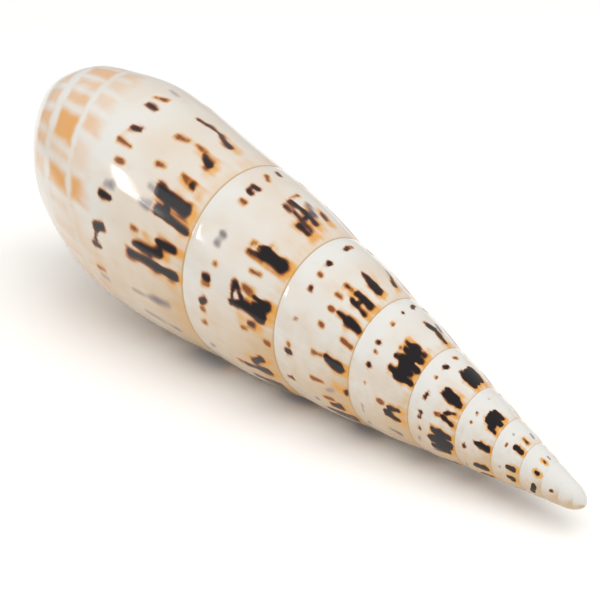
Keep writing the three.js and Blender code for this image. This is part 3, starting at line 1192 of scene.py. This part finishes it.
@dataclass
class AugerShell:
    """The shell itself: one closed piece, coiled to the right. Lengths are in millimetres."""

    growth: Growth = field(default_factory=Growth)
    steps: int = 240
    fine_rows: int = 44
    coarse_rows: int = 20
    base_rows: int = 64
    fine_turns: int = 3
    row_bunching: float = 0.45
    step_margin: float = 0.1
    weld_mm: float = 0.003
    axis_dip: float = 8.6
    up_angle: float = 49.0
    worn_flat: float = 0.45
    lip_wall: float = 1.1
    inner_wall: float = 0.9
    hollow_outer: tuple[float, float, int] = (0.56, 2.12, 34)
    hollow_inner: tuple[float, float, int] = (2.16, 1.76, 14)
    hollow_probe: float = 0.01
    hollow_lead: float = 0.015
    hollow_turn: float = 0.6
    hollow_cuts: int = 60
    hollow_narrows: float = 0.75
    narrows_from: float = 0.35
    pillar_drop: float = 4.0
    lining_from: float = 0.25
    lining_blend: float = 0.3
    smooth_angle: float = 42.0

    def build(self, box: tuple[Vector, Vector]) -> bpy.types.Object:
        """Model, place and paint the shell.

        Args:
            box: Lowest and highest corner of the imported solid.

        Returns:
            The finished piece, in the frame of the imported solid.
        """
        g = self.growth
        split = g.lip_turn + self.fine_turns
        step = 1 / self.steps
        older = self.sheet("older_whorls", g.tip_turn, split + step, (0, 1), self.coarse_rows)
        newer = self.sheet("newer_whorls", split, g.lip_turn, (0, 1), self.fine_rows)
        base = self.sheet("base", g.lip_turn + 1, g.lip_turn, (1, g.base_end), self.base_rows)
        only(newer)
        older.select_set(True)
        base.select_set(True)
        bpy.ops.object.join()
        piece = newer
        piece.name = "auger_shell"
        piece.data.name = "auger_shell"
        self.close(piece)
        self.carve(piece)
        own_to_floor = self.lay_down(piece, box)
        self.paint(piece, own_to_floor)
        only(piece)
        bpy.ops.object.shade_smooth_by_angle(angle=math.radians(self.smooth_angle))
        piece.data.materials.clear()
        piece.data.materials.append(PolishedShell(g).material())
        return piece

    def sheet(
        self, name: str, first: float, last: float, span: tuple[float, float], rows: int
    ) -> bpy.types.Object:
        """Wind a grid round the axis as a run of whorl surface.

        Args:
            name: The sheet's name.
            first: Turn at its older end.
            last: Turn at its newer end.
            span: Lowest and highest place across the whorl.
            rows: Faces across the whorl.

        Returns:
            The sheet, in the shell's own axes.
        """
        count = round((first - last) * self.steps)
        piece, column, row = add_grid(name, count, rows)
        share = row / rows
        if span[1] <= 1:
            share = share - self.row_bunching / (2 * math.pi) * np.sin(2 * math.pi * share)
        turn = first - column / self.steps
        along = span[0] + (span[1] - span[0]) * share
        write_points(piece.data, self.growth.place(turn, along))
        is_base = span[0] >= 1
        self.group(piece, "lip", (column == count) & (last == self.growth.lip_turn))
        self.group(piece, "wall", (column == 0) & is_base)
        self.group(piece, "front", (row == rows) & is_base)
        return piece

    @staticmethod
    def group(piece: bpy.types.Object, name: str, members: np.ndarray) -> None:
        """Remember corners under a name, so that they can be picked after joining."""
        if members.any():
            piece.vertex_groups.new(name=name).add(np.flatnonzero(members).tolist(), 1.0, "ADD")

    @staticmethod
    def pick(*names: str) -> None:
        """Select the remembered corners of the edited piece, and no others.

        Args:
            *names: What group() remembered them under.
        """
        bpy.ops.mesh.select_all(action="DESELECT")
        for name in names:
            bpy.ops.object.vertex_group_set_active(group=name)
            bpy.ops.object.vertex_group_select()

    def close(self, piece: bpy.types.Object) -> None:
        """Weld the sutures and the tip, and close the mouth and the front end.

        Args:
            piece: The joined sheets.
        """
        g = self.growth
        weld(piece, self.weld_mm * MM)
        self.fill_step(piece)
        self.join_ends(piece)
        self.pick("lip", "wall")
        bpy.ops.mesh.edge_face_add()
        self.pick("front")
        bpy.ops.mesh.edge_face_add()
        bpy.ops.mesh.poke()
        rim = float(g.whorl(np.array(g.lip_turn), np.array(g.base_end))[0])
        mesh = bmesh.from_edit_mesh(piece.data)
        layer = mesh.verts.layers.deform.verify()
        for corner in mesh.verts:
            if corner.select and not corner[layer].keys():
                corner.co = ((rim - self.pillar_drop) * MM, 0, 0)
        bmesh.update_edit_mesh(piece.data)
        face_out()

    def fill_step(self, piece: bpy.types.Object) -> None:
        """Fill the narrow gap between the coarse and the fine whorls.

        Args:
            piece: The piece, in edit mode.
        """
        mesh = bmesh.from_edit_mesh(piece.data)
        layer = mesh.verts.layers.deform.verify()
        split = self.growth.lip_turn + self.fine_turns
        low = float(self.growth.height(np.array(split + self.step_margin))) * MM
        high = float(self.growth.height(np.array(split - 1 - self.step_margin))) * MM
        bpy.ops.mesh.select_all(action="DESELECT")
        for edge in mesh.edges:
            named = any(len(v[layer]) for v in edge.verts)
            inside = all(low < v.co.x < high for v in edge.verts)
            if edge.is_boundary and inside and not named:
                edge.select_set(True)
        bmesh.update_edit_mesh(piece.data)
        bpy.ops.mesh.fill(use_beauty=True)

    def join_ends(self, piece: bpy.types.Object) -> None:
        """Draw the edge from the lip's front end to the older wall's front end.

        Args:
            piece: The piece, in edit mode.
        """
        mesh = bmesh.from_edit_mesh(piece.data)
        layer = mesh.verts.layers.deform.verify()
        names = {g.name: g.index for g in piece.vertex_groups}
        bpy.ops.mesh.select_all(action="DESELECT")
        for corner in mesh.verts:
            held = corner[layer].keys()
            at_end = names["front"] in held
            if at_end and (names["lip"] in held or names["wall"] in held):
                corner.select_set(True)
        bmesh.update_edit_mesh(piece.data)
        bpy.ops.mesh.edge_face_add()

    def hollow_loop(self, turn: float, share: float) -> tuple[np.ndarray, np.ndarray]:
        """One cut through the hollow behind the mouth.

        Args:
            turn: Where the cut is.
            share: Its size against the full mouth.

        Returns:
            Heights and radii of the loop, the last point being the first again.
        """
        runs = []
        for at, span, depth in (
            (turn, self.hollow_outer, self.lip_wall),
            (turn + 1, self.hollow_inner, -self.inner_wall),
        ):
            where = np.linspace(*span)
            when = np.full(len(where), at)
            height_a, radius_a = self.growth.whorl(when, where - self.hollow_probe)
            height_b, radius_b = self.growth.whorl(when, where + self.hollow_probe)
            height, radius = self.growth.whorl(when, where)
            length = np.hypot(height_b - height_a, radius_b - radius_a)
            runs.append((
                height + depth * (radius_b - radius_a) / length,
                radius - depth * (height_b - height_a) / length,
            ))
        height = np.concatenate([runs[0][0], runs[1][0], runs[0][0][:1]])
        radius = np.concatenate([runs[0][1], runs[1][1], runs[0][1][:1]])
        middle_h = height[:-1].mean()
        middle_r = radius[:-1].mean()
        return middle_h + (height - middle_h) * share, middle_r + (radius - middle_r) * share

    def carve(self, piece: bpy.types.Object) -> None:
        """Cut the hollow of the mouth out of the closed shell.

        Args:
            piece: The shell, in its own axes.
        """
        cuts = self.hollow_cuts
        points = self.hollow_outer[2] + self.hollow_inner[2]
        hollow, column, row = add_grid("hollow", cuts, points)
        placed = np.empty((len(column), 3))
        start = self.growth.lip_turn - self.hollow_lead
        for cut in range(cuts + 1):
            turn = start + self.hollow_turn * cut / cuts
            back = (cut / cuts - self.narrows_from) / (1 - self.narrows_from)
            share = 1 - self.hollow_narrows * float(smooth(np.array(back)))
            height, radius = self.hollow_loop(turn, share)
            here = column == cut
            order = row[here]
            placed[here] = self.growth.wind(height[order], radius[order], np.full(len(order), turn))
        write_points(hollow.data, placed)
        ends = {"mouth": 0, "depth": cuts}
        for name, cut in ends.items():
            self.group(hollow, name, column == cut)
        weld(hollow, self.weld_mm * MM)
        for name in ends:
            self.pick(name)
            bpy.ops.mesh.edge_face_add()
        face_out()
        only(piece)
        bpy.ops.object.modifier_add(type="BOOLEAN")
        cutter = piece.modifiers[-1]
        cutter.operation = "DIFFERENCE"
        cutter.solver = "EXACT"
        cutter.object = hollow
        bpy.ops.object.modifier_apply(modifier=cutter.name)
        bpy.data.objects.remove(hollow, do_unlink=True)

    def lay_down(self, piece: bpy.types.Object, box: tuple[Vector, Vector]) -> Matrix:
        """Turn the shell onto its side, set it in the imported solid's place and wear its flat.

        Args:
            piece: The shell in its own axes.
            box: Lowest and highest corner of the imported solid.

        Returns:
            The turn and shift from the shell's own axes to the floor.
        """
        dip = math.radians(self.axis_dip)
        up = math.radians(self.up_angle)
        axis = Vector((-math.cos(dip), 0, math.sin(dip)))
        top = Vector((math.sin(dip), 0, math.cos(dip)))
        side = axis.cross(top)
        y = top * math.cos(up) - side * math.sin(up)
        z = top * math.sin(up) + side * math.cos(up)
        turned = Matrix((axis, y, z)).transposed().to_4x4()
        placed = read_points(piece.data) @ np.array(turned.to_3x3()).T
        low, high = placed.min(0), placed.max(0)
        shift = Vector((
            (box[0].x + box[1].x - low[0] - high[0]) / 2,
            (box[0].y + box[1].y - low[1] - high[1]) / 2,
            box[0].z - low[2] - self.worn_flat * MM,
        ))
        own_to_floor = Matrix.Translation(shift) @ turned
        only(piece)
        piece.matrix_world = own_to_floor
        bpy.ops.object.transform_apply(location=True, rotation=True, scale=True)
        bpy.ops.object.mode_set(mode="EDIT")
        bpy.ops.mesh.select_all(action="SELECT")
        bpy.ops.mesh.bisect(
            plane_co=(0, 0, box[0].z), plane_no=(0, 0, 1), use_fill=True, clear_inner=True,
            threshold=TINY,
        )
        bpy.ops.object.mode_set(mode="OBJECT")
        return own_to_floor

    def paint(self, piece: bpy.types.Object, own_to_floor: Matrix) -> None:
        """Store the marks as attributes and the growth directions as a UV map.

        Args:
            piece: The shell on the floor.
            own_to_floor: What lay_down() gave.
        """
        mesh = piece.data
        back = np.array(own_to_floor.inverted())
        points = read_points(mesh) @ back[:3, :3].T + back[:3, 3]
        turn, along, depth = self.growth.locate(points)
        fields = Markings(self.growth, turn, along).fields()
        fields["inside"] = smooth((depth - self.lining_from) / self.lining_blend)
        for name, values in fields.items():
            layer = mesh.attributes.new(name, "FLOAT", "POINT")
            layer.data.foreach_set("value", values.astype(np.float32))
        corner = np.empty(len(mesh.loops), dtype=np.int64)
        mesh.loops.foreach_get("vertex_index", corner)
        sizes = np.empty(len(mesh.polygons), dtype=np.int64)
        mesh.polygons.foreach_get("loop_total", sizes)
        centres = np.empty(len(mesh.polygons) * 3)
        mesh.polygons.foreach_get("center", centres)
        centres = centres.reshape(-1, 3) @ back[:3, :3].T + back[:3, 3]
        face_turn = np.repeat(self.growth.locate(centres)[0], sizes)
        own_turn = turn[corner] + np.round(face_turn - turn[corner])
        reach = self.growth.reach(points[corner, 0] / MM, own_turn)
        while mesh.uv_layers:
            mesh.uv_layers.remove(mesh.uv_layers[0])
        layer = mesh.uv_layers.new(name="growth")
        layer.data.foreach_set("uv", np.stack([-own_turn, reach], 1).ravel().astype(np.float32))


@dataclass(frozen=True)
class MattPaper:
    """White background paper, pressed and uncoated."""

    white: str = "#FDFBF8"
    roughness: float = 0.9
    specular: float = 0.2

    def material(self) -> bpy.types.Material:
        """Make the paper's material.

        Returns:
            An even white that hardly mirrors.
        """
        # Uncoated paper gives the eye a soft white with no gloss, on which only the shadow shows.
        made = new_material("matt_white_paper")
        tree = made.node_tree
        sheet = add_node(
            tree, "ShaderNodeBsdfPrincipled",
            {
                "Base Color": linear(self.white), "Roughness": self.roughness,
                "Specular IOR Level": self.specular,
            },
        )
        add_node(tree, "ShaderNodeOutputMaterial", {"Surface": sheet.outputs[0]})
        return made


@dataclass(frozen=True)
class Softbox:
    """A soft light that faces the shell, with its sides and distance in metres.

    Azimuth is degrees round the object, zero in front, and elevation is degrees above the floor.
    Tilt leans it to the side. One that isn't mirrored leaves no image of itself in the polish.
    """

    name: str
    azimuth: float
    elevation: float
    distance: float
    sides: tuple[float, float]
    watts: float
    tilt: float = 0.0
    mirrored: bool = True


@dataclass
class Studio:
    """Pale floor, soft light and the camera of the photograph."""

    floor_side: float = 6.0
    sky_white: str = "#FFFFFF"
    sky_strength: float = 0.5
    lights: tuple[Softbox, ...] = (
        Softbox("key", -42, 35.5, 0.42, (0.034, 0.085), 0.1, 40),
        Softbox("window", -32, 38, 0.6, (0.16, 0.3), 0.1, 40),
        Softbox("overhead", 120, 80, 1.0, (1.4, 1.4), 9.2, mirrored=False),
        Softbox("fill", 5, 40, 1.0, (0.9, 0.9), 1.1, mirrored=False),
    )
    aim_mm: tuple[float, float, float] = (22.27, -7.97, 16.64)
    azimuth: float = 52.93
    elevation: float = 22.26
    roll: float = -0.84
    distance_mm: float = 165.0
    nearest_mm: float = 5.0
    focal_pixels: float = 1314.0
    sensor_mm: float = 36.0

    def build(self) -> None:
        """Make the floor, the lights and the camera."""
        self.floor()
        self.sky()
        for light in self.lights:
            self.hang(light)
        self.camera()

    def floor(self) -> None:
        """Lay the pale matt floor, which is stage and no part of the object."""
        bpy.ops.object.select_all(action="DESELECT")
        bpy.ops.mesh.primitive_plane_add(size=self.floor_side)
        floor = bpy.context.object
        floor.name = "studio_floor"
        floor.data.materials.append(MattPaper().material())
        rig.stage(floor)

    def sky(self) -> None:
        """Surround the scene with even white light."""
        world = bpy.data.worlds.new("white_tent")
        world.use_nodes = True
        back = world.node_tree.nodes["Background"]
        back.inputs["Color"].default_value = linear(self.sky_white)
        back.inputs["Strength"].default_value = self.sky_strength
        bpy.context.scene.world = world
        bpy.context.scene.view_settings.view_transform = "Standard"

    @staticmethod
    def heading(azimuth: float, elevation: float) -> Vector:
        """Direction from the object towards an azimuth and elevation in degrees."""
        a, e = math.radians(azimuth), math.radians(elevation)
        return Vector((math.sin(a) * math.cos(e), -math.cos(a) * math.cos(e), math.sin(e)))

    @staticmethod
    def facing(away: Vector, lean: float) -> Euler:
        """Turn of a light or camera that looks back along a heading, leaning by some degrees."""
        level = away.to_track_quat("Z", "Y").to_matrix()
        return (level @ Matrix.Rotation(math.radians(lean), 3, "Z")).to_euler()

    def hang(self, light: Softbox) -> None:
        """Hang a soft light.

        Args:
            light: What it is and where it hangs.
        """
        away = self.heading(light.azimuth, light.elevation)
        bpy.ops.object.light_add(type="AREA", location=away * light.distance)
        lamp = bpy.context.object
        lamp.name = light.name
        lamp.rotation_euler = self.facing(away, light.tilt)
        lamp.visible_glossy = light.mirrored
        lamp.data.shape = "RECTANGLE"
        lamp.data.size, lamp.data.size_y = light.sides
        lamp.data.energy = light.watts

    def camera(self) -> None:
        """Set the scene's camera where the photograph was taken from."""
        away = self.heading(self.azimuth, self.elevation)
        place = Vector(self.aim_mm) * MM + away * self.distance_mm * MM
        bpy.ops.object.camera_add(location=place)
        eye = bpy.context.object
        eye.name = "photo_camera"
        eye.rotation_euler = self.facing(away, self.roll)
        eye.data.sensor_width = self.sensor_mm
        eye.data.lens = self.sensor_mm * self.focal_pixels / PHOTO_SIDE
        eye.data.clip_start = self.nearest_mm * MM
        bpy.context.scene.camera = eye


def main() -> None:
    """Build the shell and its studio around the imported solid."""
    logging.basicConfig(level=logging.INFO, format="%(message)s")
    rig.load()
    solid_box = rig.bounds()
    studio = Studio()
    studio.build()
    LOG.info("studio: floor, %d lights and camera set", len(studio.lights))
    piece = AugerShell().build(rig.box("shell"))
    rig.ride(piece, "root")
    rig.replaces(piece, "shell")
    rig.slot(piece, "shell")
    LOG.info("auger_shell: %d corners, %d faces", len(piece.data.vertices), len(piece.data.polygons))
    boxes = {"cad": solid_box, "visual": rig.bounds()}
    with open(SIZE_FILE, "w", encoding="utf-8") as out:
        json.dump({name: [list(low), list(high)] for name, (low, high) in boxes.items()}, out)


if __name__ == "__main__":
    main()
